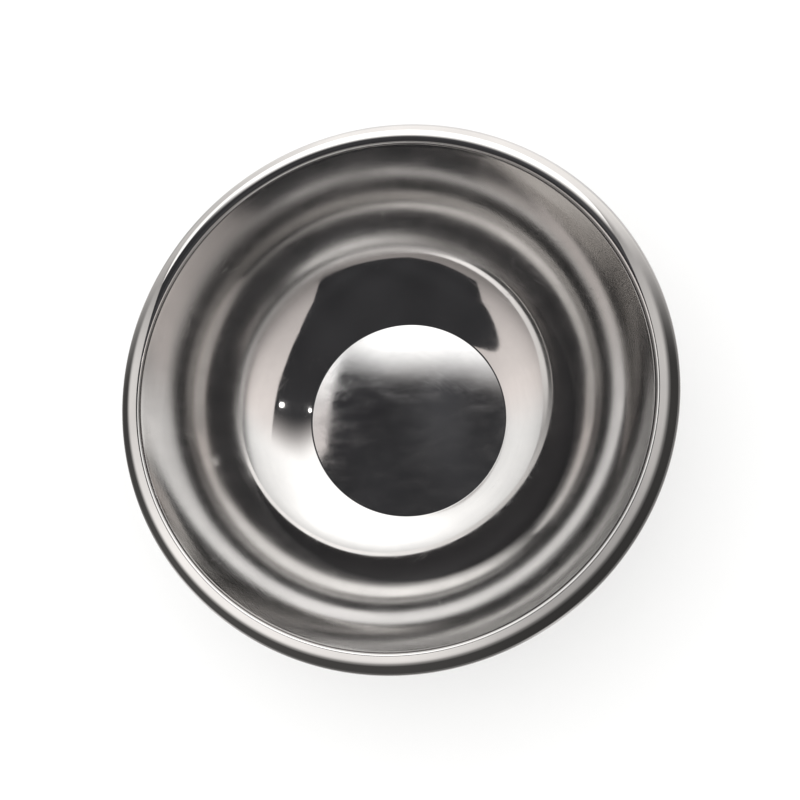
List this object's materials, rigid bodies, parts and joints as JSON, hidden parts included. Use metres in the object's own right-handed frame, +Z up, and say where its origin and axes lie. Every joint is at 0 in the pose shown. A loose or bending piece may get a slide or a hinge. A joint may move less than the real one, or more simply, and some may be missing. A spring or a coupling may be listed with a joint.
{
  "type": "shaving bowl",
  "caption": "Polished steel shaving bowl with a broad rolled rim, a crowned round floor inside, double walls, and a foot ring with a rubber tread.",
  "frame": {"origin": "centre of the standing plane, under the middle of the bowl", "axes": "+Z up along the bowl's axis of revolution; X and Y are any two directions across it"},
  "size_m": [0.125, 0.125, 0.0524],
  "materials": {
    "polished_steel": "mirror-polished stainless steel with fine turning marks",
    "satin_steel": "satin stainless steel",
    "seal_rubber": "smooth",
    "foot_rubber": "matt"
  },
  "bodies": {
    "root": {"inner_bowl": "polished_steel", "outer_shell": "polished_steel", "rim_seal": "seal_rubber", "foot_ring": "satin_steel", "non_slip_ring": "foot_rubber", "vent_plug": "satin_steel"}
  },
  "joints": []
}
